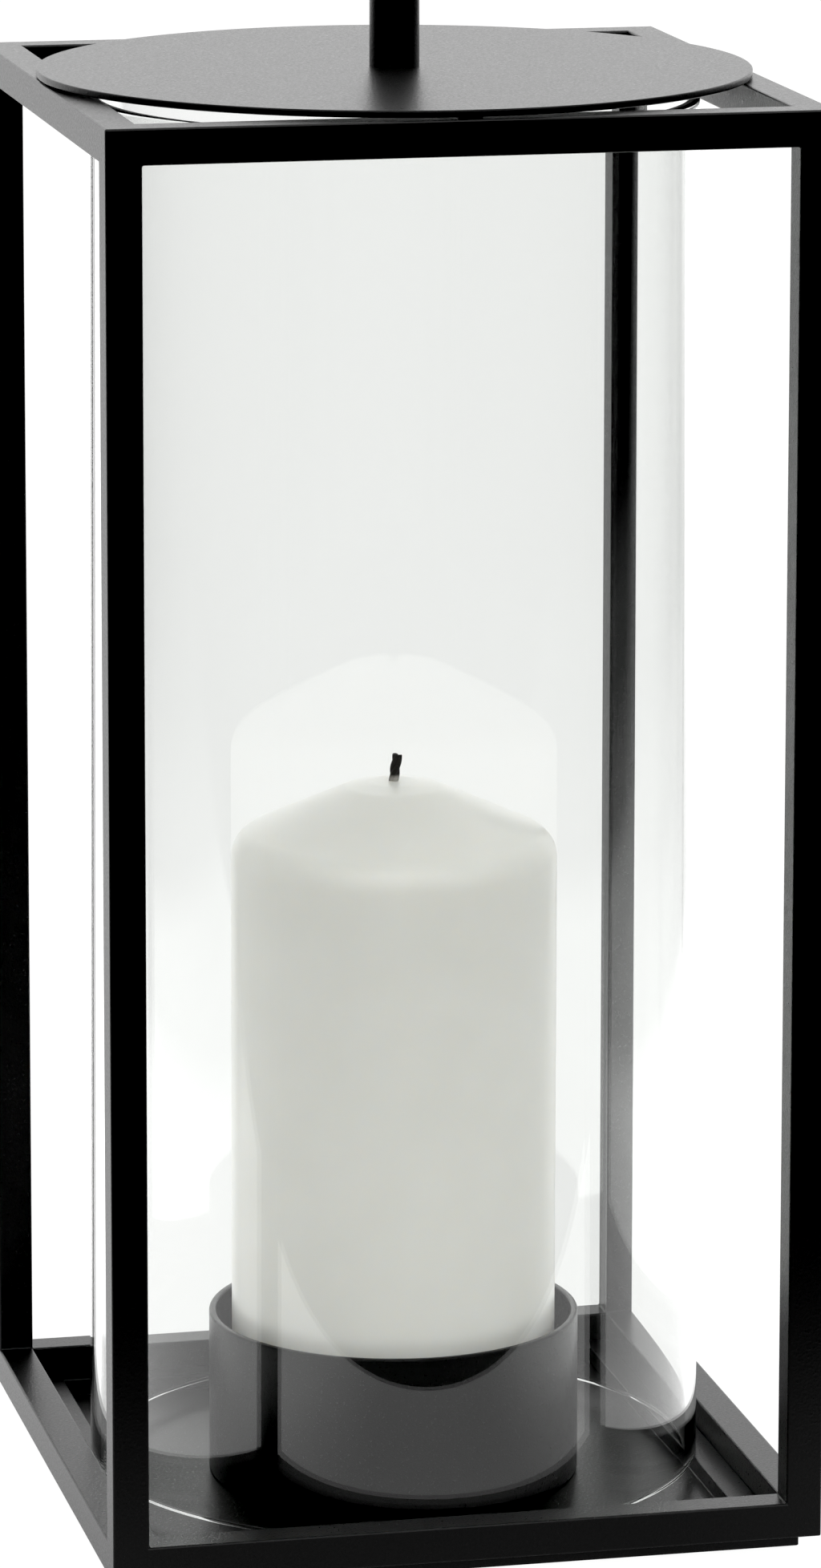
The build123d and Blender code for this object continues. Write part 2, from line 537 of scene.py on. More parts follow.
@dataclass(frozen=True)
class Paraffin:
    """Pressed and dipped paraffin wax: light sinks in a few millimetres, with a soft skin gloss."""

    name: str = "paraffin_wax_white"
    colour: str = "F0EFEB"
    deep: str = "E9E8E3"
    roughness: float = 0.32
    ior: float = 1.43
    sink: float = 0.85
    sink_colour: Corner = (1.0, 0.94, 0.84)
    sink_mm: float = 10
    mottle_mm: float = 14.0
    pit_mm: float = 1.6
    pit_depth: float = 0.15 * MM
    pit_bump: float = 0.06

    def material(self) -> bpy.types.Material:
        """Build the material."""
        material, tree, shader = new_material(self.name)
        mottle = noise(tree, self.mottle_mm, Detail=3.0)
        pits = noise(tree, self.pit_mm, Detail=2.0)
        values = {
            "Base Color": blend(tree, mottle, self.colour, self.deep),
            "Normal": bump(tree, pits, self.pit_bump, self.pit_depth),
            "Roughness": self.roughness,
            "IOR": self.ior,
            "Subsurface Weight": self.sink,
            "Subsurface Radius": self.sink_colour,
            "Subsurface Scale": self.sink_mm * MM,
        }
        fill(tree, shader, values)
        return material


@dataclass(frozen=True)
class SoftFinish:
    """A matt, fibrous or rubbery finish: one colour broken up by a fine grain.

    It serves wool felt, silicone rubber and black-oxide steel,
    which differ in colour, gloss and the size of their grain.
    """

    name: str
    colour: str
    fleck: str
    roughness: float
    grain_mm: float
    bump: float
    metallic: float = 0.0

    def material(self) -> bpy.types.Material:
        """Build the material."""
        material, tree, shader = new_material(self.name)
        grain = noise(tree, self.grain_mm, Detail=4.0)
        values = {
            "Base Color": blend(tree, grain, self.colour, self.fleck),
            "Normal": bump(tree, grain, self.bump, self.grain_mm * MM / 3),
            "Roughness": self.roughness,
            "Metallic": self.metallic,
        }
        fill(tree, shader, values)
        return material


@dataclass(frozen=True)
class CharredCotton:
    """Burnt cotton braid: sooty black above, wax-soaked and grey where it leaves the candle."""

    wax_top: float
    name: str = "cotton_wick_charred"
    soot: str = "080706"
    ash: str = "1E1B19"
    soaked: str = "9A9792"
    soak_mm: float = 1.8
    grain_mm: float = 0.35
    bump: float = 0.6
    roughness: float = 0.9

    def material(self) -> bpy.types.Material:
        """Build the material."""
        material, tree, shader = new_material(self.name)
        height = add_node(tree, "ShaderNodeSeparateXYZ", inputs={"Vector": object_place(tree)})
        grain = noise(tree, self.grain_mm, Detail=4.0)
        dry = add_node(
            tree,
            "ShaderNodeMapRange",
            inputs={
                "Value": height.outputs["Z"],
                "From Min": self.wax_top + 0.4 * self.soak_mm * MM,
                "From Max": self.wax_top + self.soak_mm * MM,
            },
        )
        char = blend(tree, grain, self.soot, self.ash)
        values = {
            "Base Color": blend(tree, dry.outputs["Result"], self.soaked, char),
            "Normal": bump(tree, grain, self.bump, self.grain_mm * MM / 3),
            "Roughness": self.roughness,
        }
        fill(tree, shader, values)
        return material


# Pressed wool felt: light-trapping fibres
WOOL_FELT = SoftFinish("wool_felt_black", "0C0C0C", "1C1C1C", 1.0, 0.5, 0.8)
# Moulded silicone rubber: smooth, dull skin
SILICONE = SoftFinish("silicone_rubber_black", "0A0A0A", "121212", 0.55, 1.2, 0.1)
# Black-oxide screw steel: dark metal with an oily satin gloss
BLACK_OXIDE = SoftFinish("steel_black_oxide", "2A2A2B", "1C1C1D", 0.38, 0.3, 0.1, 1.0)


# ------------------------------------------------------------- geometry nodes


def input_socket(tree: bpy.types.NodeTree, name: str, kind: str) -> None:
    """Add one named input to a geometry tree."""
    tree.interface.new_socket(name, in_out="INPUT", socket_type=kind)


def new_geometry_tree(
    name: str, sizes: dict[str, str]
) -> tuple[bpy.types.NodeTree, bpy.types.Node]:
    """Start a geometry tree.

    Args:
        name: The tree's name.
        sizes: Input name to socket type, after the geometry input.

    Returns:
        The tree and its group input node.
    """
    tree = bpy.data.node_groups.new(name, "GeometryNodeTree")
    input_socket(tree, "Geometry", "NodeSocketGeometry")
    for key, kind in sizes.items():
        input_socket(tree, key, kind)
    tree.interface.new_socket("Geometry", in_out="OUTPUT", socket_type="NodeSocketGeometry")
    return tree, add_node(tree, "NodeGroupInput")


def close_geometry_tree(
    tree: bpy.types.NodeTree, shape: bpy.types.NodeSocket, finish: bpy.types.NodeSocket
) -> None:
    """End a tree in Realize Instances and Set Material.

    Args:
        tree: The tree.
        shape: The geometry to finish.
        finish: The material input.
    """
    real = add_node(tree, "GeometryNodeRealizeInstances", inputs={"Geometry": shape})
    done = add_node(
        tree,
        "GeometryNodeSetMaterial",
        inputs={"Geometry": real.outputs["Geometry"], "Material": finish},
    )
    add_node(tree, "NodeGroupOutput", inputs={"Geometry": done.outputs["Geometry"]})


def ring_tree() -> bpy.types.NodeTree:
    """Build the tree that sets copies of one piece round the Z axis."""
    tree, given = new_geometry_tree(
        "ring_of_pieces",
        {
            "Count": "NodeSocketInt",
            "Radius": "NodeSocketFloat",
            "Start Angle": "NodeSocketFloat",
            "Finish": "NodeSocketMaterial",
        },
    )
    circle = add_node(
        tree,
        "GeometryNodeMeshCircle",
        inputs={"Vertices": given.outputs["Count"], "Radius": given.outputs["Radius"]},
    )
    turn = add_node(tree, "ShaderNodeCombineXYZ", inputs={"Z": given.outputs["Start Angle"]})
    turned = add_node(
        tree,
        "GeometryNodeTransform",
        inputs={"Geometry": circle.outputs["Mesh"], "Rotation": turn.outputs["Vector"]},
    )
    copies = add_node(
        tree,
        "GeometryNodeInstanceOnPoints",
        inputs={"Points": turned.outputs["Geometry"], "Instance": given.outputs["Geometry"]},
    )
    close_geometry_tree(tree, copies.outputs["Instances"], given.outputs["Finish"])
    return tree


def strand_tree() -> bpy.types.NodeTree:
    """Build the tree that twists strands round a path."""
    tree, given = new_geometry_tree(
        "twisted_strands",
        {
            "Strands": "NodeSocketInt",
            "Turns": "NodeSocketFloat",
            "Lay Radius": "NodeSocketFloat",
            "Strand Radius": "NodeSocketFloat",
            "Finish": "NodeSocketMaterial",
        },
    )
    path = add_node(tree, "GeometryNodeMeshToCurve", inputs={"Mesh": given.outputs["Geometry"]})
    fine = add_node(
        tree, "GeometryNodeResampleCurve", inputs={"Curve": path.outputs["Curve"], "Count": 90}
    )
    each = add_node(
        tree,
        "GeometryNodeDuplicateElements",
        {"domain": "SPLINE"},
        {"Geometry": fine.outputs["Curve"], "Amount": given.outputs["Strands"]},
    )
    share = maths(tree, "DIVIDE", each.outputs["Duplicate Index"], given.outputs["Strands"])
    along = add_node(tree, "GeometryNodeSplineParameter").outputs["Factor"]
    wound = maths(tree, "MULTIPLY_ADD", along, given.outputs["Turns"], share)
    angle = maths(tree, "MULTIPLY", wound, 2 * math.pi)
    spokes = []
    normal = add_node(tree, "GeometryNodeInputNormal").outputs["Normal"]
    tangent = add_node(tree, "GeometryNodeInputTangent").outputs["Tangent"]
    across = add_node(
        tree, "ShaderNodeVectorMath", {"operation": "CROSS_PRODUCT"}, {0: tangent, 1: normal}
    )
    for direction, operation in ((normal, "COSINE"), (across.outputs["Vector"], "SINE")):
        wave = maths(tree, operation, angle)
        reach = maths(tree, "MULTIPLY", wave, given.outputs["Lay Radius"])
        spoke = add_node(
            tree, "ShaderNodeVectorMath", {"operation": "SCALE"}, {0: direction, "Scale": reach}
        )
        spokes.append(spoke.outputs["Vector"])
    offset = add_node(
        tree, "ShaderNodeVectorMath", {"operation": "ADD"}, {0: spokes[0], 1: spokes[1]}
    )
    laid = add_node(
        tree,
        "GeometryNodeSetPosition",
        inputs={"Geometry": each.outputs["Geometry"], "Offset": offset.outputs["Vector"]},
    )
    ring = add_node(
        tree,
        "GeometryNodeCurvePrimitiveCircle",
        inputs={"Resolution": 10, "Radius": given.outputs["Strand Radius"]},
    )
    tube = add_node(
        tree,
        "GeometryNodeCurveToMesh",
        inputs={
            "Curve": laid.outputs["Geometry"],
            "Profile Curve": ring.outputs["Curve"],
            "Fill Caps": True,
        },
    )
    close_geometry_tree(tree, tube.outputs["Mesh"], given.outputs["Finish"])
    return tree


def apply_tree(
    source: bpy.types.Object, tree: bpy.types.NodeTree, values: dict, smooth: float
) -> bpy.types.Object:
    """Run a geometry tree on an object and keep the result as a plain mesh.

    Args:
        source: The object that gives the tree its geometry.
        tree: The geometry tree.
        values: Input name to value.
        smooth: Angle in degrees above which edges stay sharp.

    Returns:
        The same object, with the new mesh and no modifier.
    """
    modifier = source.modifiers.new(tree.name, "NODES")
    modifier.node_group = tree
    for item in tree.interface.items_tree:
        if item.item_type == "SOCKET" and item.name in values:
            modifier[item.identifier] = values[item.name]
    bpy.context.view_layer.update()
    evaluated = source.evaluated_get(bpy.context.evaluated_depsgraph_get())
    mesh = bpy.data.meshes.new_from_object(evaluated)
    source.modifiers.remove(modifier)
    source.data = mesh
    soften(mesh, smooth)
    return source


# --------------------------------------------------------------- sub-assemblies


@dataclass
class WeldedFrame:
    """Twelve square bars welded into an open box and coated as one.

    The whole shell is made first, with its edges eased, and then cut into its
    posts and rails just clear of the welds, so no seam shows between them.
    """

    finish: bpy.types.Material
    edge: float = 0.5 * MM
    edge_steps: int = 2
    weld_margin: float = 0.9 * MM
    low: Vector = field(init=False)
    high: Vector = field(init=False)
    bar: float = field(init=False)

    def __post_init__(self) -> None:
        """Read the outer box and the bar size from the CAD nodes."""
        self.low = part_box("post_front_left")[0]
        self.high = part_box("post_back_right")[1]
        self.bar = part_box("post_front_left")[1].x - self.low.x

    def shell(self) -> bmesh.types.BMesh:
        """Make the closed shell of all twelve bars, with eased edges."""
        lines = [
            [self.low[a], self.low[a] + self.bar, self.high[a] - self.bar, self.high[a]]
            for a in range(3)
        ]
        solid = {
            (i, j, k)
            for i in range(3)
            for j in range(3)
            for k in range(3)
            if sum(n != 1 for n in (i, j, k)) >= 2
        }
        bm = bmesh.new()
        verts: dict[tuple[int, int, int], bmesh.types.BMVert] = {}

        def corner(key: tuple[int, int, int]) -> bmesh.types.BMVert:
            """Give the vertex at a grid point, made once."""
            if key not in verts:
                verts[key] = bm.verts.new([lines[a][key[a]] for a in range(3)])
            return verts[key]

        for cell in sorted(solid):
            for axis in range(3):
                for step in (0, 1):
                    beside = list(cell)
                    beside[axis] += 2 * step - 1
                    if tuple(beside) in solid:
                        continue
                    u, v = [a for a in range(3) if a != axis]
                    ring = []
                    for du, dv in ((0, 0), (1, 0), (1, 1), (0, 1)):
                        key = list(cell)
                        key[axis] += step
                        key[u] += du
                        key[v] += dv
                        ring.append(corner(tuple(key)))
                    bm.faces.new(ring)
        bmesh.ops.recalc_face_normals(bm, faces=bm.faces)
        sharp = [e for e in bm.edges if e.calc_face_angle(0.0) > math.radians(45)]
        bmesh.ops.bevel(
            bm,
            geom=sharp,
            offset=self.edge,
            segments=self.edge_steps,
            profile=0.5,
            affect="EDGES",
            clamp_overlap=True,
        )
        return bm

    def cut(
        self, shell: bmesh.types.BMesh, spans: dict[Axis, tuple[float, float]]
    ) -> bmesh.types.BMesh:
        """Cut one bar out of the shell and close its ends.

        Args:
            shell: The whole shell, left as it is.
            spans: For each axis that is cut, the lowest and highest place kept.

        Returns:
            The bar.
        """
        bm = shell.copy()
        for axis, span in spans.items():
            for place, sign in zip(span, (-1, 1)):
                if not math.isfinite(place):
                    continue
                point, normal = Vector((0, 0, 0)), Vector((0, 0, 0))
                point[axis.value] = place
                normal[axis.value] = sign
                made = bmesh.ops.bisect_plane(
                    bm,
                    geom=bm.verts[:] + bm.edges[:] + bm.faces[:],
                    dist=1e-7,
                    plane_co=point,
                    plane_no=normal,
                    clear_outer=True,
                )
                edges = [g for g in made["geom_cut"] if isinstance(g, bmesh.types.BMEdge)]
                bmesh.ops.edgeloop_fill(bm, edges=edges)
        return bm

    def build(self) -> None:
        """Cut, dress and place the four posts and the eight rails."""
        shell = self.shell()
        reach = self.high.x - self.bar - self.weld_margin
        far = math.inf
        middle_z = (self.low.z + self.high.z) / 2
        outer = {-1: (-far, -reach), 1: (reach, far)}
        for x_name, x_sign in (("left", -1), ("right", 1)):
            for y_name, y_sign in (("front", -1), ("back", 1)):
                bar = self.cut(shell, {Axis.X: outer[x_sign], Axis.Y: outer[y_sign]})
                self.keep(bar, f"corner_post_{y_name}_{x_name}", f"post_{y_name}_{x_name}")
        for side in Side:
            x, y = side.value
            along, across, sign = (Axis.X, Axis.Y, y) if x == 0 else (Axis.Y, Axis.X, x)
            half = (0.0, far) if sign > 0 else (-far, 0.0)
            for level, z_span in (("top", (middle_z, far)), ("bottom", (-far, middle_z))):
                spans = {along: (-reach, reach), across: half, Axis.Z: z_span}
                bar = self.cut(shell, spans)
                name = side.name.lower()
                self.keep(bar, f"{level}_bar_{name}", f"{level}_rail_{name}")
        shell.free()

    def keep(self, bar: bmesh.types.BMesh, name: str, node: str) -> None:
        """Turn one cut bar into a dressed piece that stands for its CAD node."""
        piece = finish_mesh(name, bar, smooth=None)
        dress(piece, self.finish, Body.FRAME, [node])


@dataclass
class BaseTray:
    """Stepped tray under the frame, with its screws and felt pads."""

    finish: bpy.types.Material
    felt: bpy.types.Material
    steel: bpy.types.Material
    ring: bpy.types.NodeTree
    edge: float = 0.35 * MM
    corner: float = 0.6 * MM
    floor: float = 1.2 * MM
    ledge: float = 8.0 * MM
    screw_proud: float = 0.06 * MM
    screw_inset: float = 2.5 * MM
    pad_radius: float = 8.0 * MM
    pad_round: float = 0.4 * MM

    def build(self) -> None:
        """Build the tray, its screws and its pads."""
        low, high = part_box("base_tray")
        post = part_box("post_front_left")
        rim, top, floor_top = post[0].z, high.z, low.z + self.floor
        inner = -post[1].x - 0.1 * MM
        recess = -post[1].x - self.ledge
        profile = rounded_profile(
            [
                (0.02, low.z, 0),
                (high.x, low.z, self.edge),
                (high.x, rim, 0),
                (inner, rim, 0),
                (inner, top, self.edge / 2),
                (recess, top, self.edge),
                (recess, floor_top, self.edge),
                (0.02, floor_top, 0),
            ],
            steps=3,
        )
        tray = square_lathe("stepped_tray", profile, self.corner, steps=3)
        dress(tray, self.finish, Body.FRAME, ["base_tray"])
        self.build_screws()
        self.build_pads()

    def build_screws(self) -> None:
        """Set four countersunk socket screws round the tray rim."""
        low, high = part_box("tray_screws")
        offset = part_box("bottom_rail_right")[0].x + self.screw_inset
        head = high.x - offset
        one = SocketScrew(
            head_radius=head,
            head_height=1.0 * MM,
            shank_radius=1.25 * MM,
            length=high.z - low.z,
            socket_radius=0.75 * MM,
            countersunk=True,
        ).mesh("tray_screw_set", low.z - self.screw_proud)
        values = {"Count": 4, "Radius": offset, "Start Angle": 0.0, "Finish": self.steel}
        piece = apply_tree(one, self.ring, values, 30)
        dress(piece, self.steel, Body.FRAME, ["tray_screws"])

    def build_pads(self) -> None:
        """Set four round felt pads under the tray corners."""
        low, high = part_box("base_pads")
        profile = disc_profile(self.pad_radius, low.z, high.z, (self.pad_round, 0), steps=3)
        pad = lathe("felt_pad_set", profile, 48)
        reach = (high.x - self.pad_radius) * math.sqrt(2)
        values = {"Count": 4, "Radius": reach, "Start Angle": math.pi / 4, "Finish": self.felt}
        piece = apply_tree(pad, self.ring, values, 40)
        dress(piece, self.felt, Body.FRAME, ["base_pads"])


@dataclass
class SocketScrew:
    """A screw with a hexagon socket, head down, made of rings about the Z axis."""

    head_radius: float
    head_height: float
    shank_radius: float
    length: float
    socket_radius: float
    countersunk: bool = False
    segments: int = 48

    def mesh(self, name: str, bottom: float) -> bpy.types.Object:
        """Make the screw's object.

        Args:
            name: The object's name.
            bottom: Height of the head's outer face.

        Returns:
            The screw, its shank pointing up.
        """
        shoulder = bottom + self.head_height
        depth = self.head_height * 0.6
        crown = self.head_radius * (0.92 if self.countersunk else 0.62)
        rise = 0.0 if self.countersunk else self.head_height * 0.45
        bm = bmesh.new()
        loops = [[bm.verts.new((0, 0, bottom + depth * 1.1))]]
        for scale, z in ((0.96, bottom + depth), (1.0, bottom + 0.05 * MM), (1.06, bottom)):
            loops.append(self.hexagon(bm, self.socket_radius * scale, z))
        outline = [
            (crown, bottom),
            (self.head_radius, bottom + rise + 0.05 * MM),
            (self.head_radius if not self.countersunk else self.shank_radius, shoulder),
            (self.shank_radius, shoulder),
            (self.shank_radius, bottom + self.length - 0.3 * MM),
            (self.shank_radius - 0.3 * MM, bottom + self.length),
            (0, bottom + self.length),
        ]
        if self.countersunk:
            outline.pop(3)
        for r, z in outline:
            loops.append(self.circle(bm, r, z) if r else [bm.verts.new((0, 0, z))])
        bridge(bm, loops, closed=False)
        return finish_mesh(name, bm, 30)

    def circle(self, bm: bmesh.types.BMesh, radius: float, z: float) -> list[bmesh.types.BMVert]:
        """Make one ring of vertices."""
        step = 2 * math.pi / self.segments
        return [
            bm.verts.new((radius * math.cos(i * step), radius * math.sin(i * step), z))
            for i in range(self.segments)
        ]

    def hexagon(self, bm: bmesh.types.BMesh, radius: float, z: float) -> list[bmesh.types.BMVert]:
        """Make one hexagonal ring with as many vertices as a round one."""
        ring = []
        for i in range(self.segments):
            angle = 2 * math.pi * i / self.segments
            inside = (angle % (math.pi / 3)) - math.pi / 6
            r = radius * math.cos(math.pi / 6) / math.cos(inside)
            ring.append(bm.verts.new((r * math.cos(angle), r * math.sin(angle), z)))
        return ring


@dataclass
class CandleCup:
    """Low drawn cup that holds the candle, and the screw under it."""

    finish: bpy.types.Material
    steel: bpy.types.Material
    wall: float = 2.0 * MM
    floor: float = 3.0 * MM
    lip: float = 0.6 * MM
    foot: float = 0.6 * MM
    inner_foot: float = 2.0 * MM

    def build(self) -> None:
        """Build the cup and its screw."""
        low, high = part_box("candle_cup")
        radius = high.x
        inner = radius - self.wall
        profile = rounded_profile(
            [
                (0, low.z, 0),
                (radius, low.z, self.foot),
                (radius, high.z, self.lip),
                (inner, high.z, self.lip),
                (inner, low.z + self.floor, self.inner_foot),
                (0, low.z + self.floor, 0),
            ],
            steps=5,
        )
        cup = lathe("drawn_candle_cup", profile, 192, smooth=28)
        dress(cup, self.finish, Body.FRAME, ["candle_cup"])
        screw_low, screw_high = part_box("cup_screw")
        screw = SocketScrew(
            head_radius=screw_high.x,
            head_height=1.5 * MM,
            shank_radius=2.0 * MM,
            length=screw_high.z - screw_low.z,
            socket_radius=1.4 * MM,
        ).mesh("cup_fixing_screw", screw_low.z)
        dress(screw, self.steel, Body.FRAME, ["cup_screw"])


@dataclass
class GlassCylinder:
    """Clear tube with fire-polished rims, loose on the tray ledge."""

    finish: bpy.types.Material
    wall: float = 3.0 * MM
    taper: float = 1.9 * MM
    rim: float = 1.0 * MM
    segments: int = 288

    def build(self) -> None:
        """Build the tube."""
        low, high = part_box("glass_cylinder")
        foot, mouth = high.x, high.x - self.taper
        profile = rounded_profile(
            [
                (foot, low.z, self.rim),
                (mouth, high.z, self.rim),
                (mouth - self.wall, high.z, self.rim),
                (foot - self.wall, low.z, self.rim),
            ],
            steps=6,
            closed=True,
        )
        tube = lathe("glass_tube", profile, self.segments, closed=True)
        dress(tube, self.finish, Body.GLASS, ["glass_cylinder"])


@dataclass
class PillarCandle:
    """White pillar candle with a rounded shoulder, shallow cone and burnt wick."""

    wax: bpy.types.Material
    char: bpy.types.Material
    strands: bpy.types.NodeTree
    shoulder: float = 8.5 * MM
    side_top: float = 16.4 * MM
    crown_radius: float = 14.0 * MM
    crown_drop: float = 1.6 * MM
    crown_round: float = 7.0 * MM
    wick_radius: float = 1.5 * MM
    wick_root: float = 6 * MM
    foot: float = 1.5 * MM

    def build(self) -> None:
        """Build the wax and the wick."""
        low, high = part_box("candle_body")
        radius = high.x
        profile = rounded_profile(
            [
                (0, low.z, 0),
                (radius, low.z, self.foot),
                (radius, high.z - self.side_top, self.shoulder),
                (self.crown_radius, high.z - self.crown_drop, self.crown_round),
                (self.crown_radius / 2, high.z - self.crown_drop / 4, 12.0 * MM),
                (0, high.z - 0.1 * MM, 0),
            ],
            steps=10,
        )
        fine: Profile = []
        for (r0, z0), (r1, z1) in zip(profile, profile[1:]):
            parts = max(1, int(math.hypot(r1 - r0, z1 - z0) / (4 * MM)))
            fine += [(r0 + (r1 - r0) * i / parts, z0 + (z1 - z0) * i / parts) for i in range(parts)]
        fine.append(profile[-1])
        wax = lathe("pillar_candle", fine, 160, smooth=50, wobble=self.hand_finish)
        dress(wax, self.wax, Body.CANDLE, ["candle_body"])
        self.build_wick()

    def hand_finish(self, angle: float, radius: float, height: float) -> float:
        """Give the slight out-of-round of pressed wax, never outwards past its CAD size."""
        wave = math.sin(3 * angle + 9 * height) + 0.6 * math.sin(5 * angle - 21 * height + 1.3)
        return 0.06 * MM * (wave - 1.7) * min(1.0, radius / (10 * MM))

    def build_wick(self) -> None:
        """Twist the wick's strands along its leaning path."""
        low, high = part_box("wick")
        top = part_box("candle_body")[1].z
        rise = high.z - top
        lean = high.x - self.wick_radius
        bm = bmesh.new()
        previous = bm.verts.new((0, 0, top - self.wick_root))
        steps = 24
        for i in range(1, steps + 1):
            share = i / steps
            bend = max(0.0, share * 1.75 - 0.75)
            height = top - self.wick_root + (self.wick_root + rise - 0.6 * MM) * share
            point = (lean * bend**1.4, 0, height)
            here = bm.verts.new(point)
            bm.edges.new((previous, here))
            previous = here
        path = place_mesh("braided_wick", bm)
        values = {
            "Strands": 3,
            "Turns": 1.1,
            "Lay Radius": 0.66 * MM,
            "Strand Radius": 0.84 * MM,
            "Finish": self.char,
        }
        piece = apply_tree(path, self.strands, values, 60)
        dress(piece, self.char, Body.CANDLE, ["wick"])


@dataclass
class DiscLid:
    """Flat disc lid with its rod handle, fixing and bumper dots."""

    finish: bpy.types.Material
    rubber: bpy.types.Material
    steel: bpy.types.Material
    ring: bpy.types.NodeTree
    edge: float = 0.4 * MM
    handle_edge: float = 0.8 * MM
    washer_bore: float = 2.05 * MM
    dot_radius: float = 3.5 * MM
    dot_round: float = 0.3 * MM

    def build(self) -> None:
        """Build the disc, the handle, its screw and washer, and the dots."""
        low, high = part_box("lid_disc")
        profile = disc_profile(high.x, low.z, high.z, (self.edge, self.edge), steps=4)
        disc = lathe("disc_lid", profile, 256, smooth=28)
        dress(disc, self.finish, Body.LID, ["lid_disc"])
        self.build_handle()
        self.build_fixing()
        self.build_dots()

    def build_handle(self) -> None:
        """Turn the rod handle."""
        low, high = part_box("handle_post")
        profile = disc_profile(high.x, low.z, high.z, (0, self.handle_edge), steps=5)
        rod = lathe("rod_handle", profile, 96, smooth=28)
        dress(rod, self.finish, Body.LID, ["handle_post"])

    def build_fixing(self) -> None:
        """Build the washer and the screw under the lid."""
        low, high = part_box("handle_washer")
        profile = rounded_profile(
            [
                (self.washer_bore, low.z, 0.1 * MM),
                (high.x, low.z, 0.15 * MM),
                (high.x, high.z, 0.15 * MM),
                (self.washer_bore, high.z, 0.1 * MM),
            ],
            steps=3,
            closed=True,
        )
        washer = lathe("handle_washer_ring", profile, 64, closed=True)
        dress(washer, self.steel, Body.LID, ["handle_washer"])
        screw_low, screw_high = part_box("handle_screw")
        screw = SocketScrew(
            head_radius=screw_high.x,
            head_height=2.4 * MM,
            shank_radius=2.0 * MM,
            length=screw_high.z - screw_low.z,
            socket_radius=1.4 * MM,
        ).mesh("handle_fixing_screw", screw_low.z)
        dress(screw, self.steel, Body.LID, ["handle_screw"])

    def build_dots(self) -> None:
        """Set four bumper dots under the lid, over the middle of each rail."""
        low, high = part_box("lid_bumpers")
        profile = disc_profile(self.dot_radius, low.z, high.z, (self.dot_round, 0), steps=4)
        dot = lathe("bumper_dot_set", profile, 36)
        reach = high.x - self.dot_radius
        values = {"Count": 4, "Radius": reach, "Start Angle": 0.0, "Finish": self.rubber}
        piece = apply_tree(dot, self.ring, values, 40)
        dress(piece, self.rubber, Body.LID, ["lid_bumpers"])


# --------------------------------------------------------------------- studio


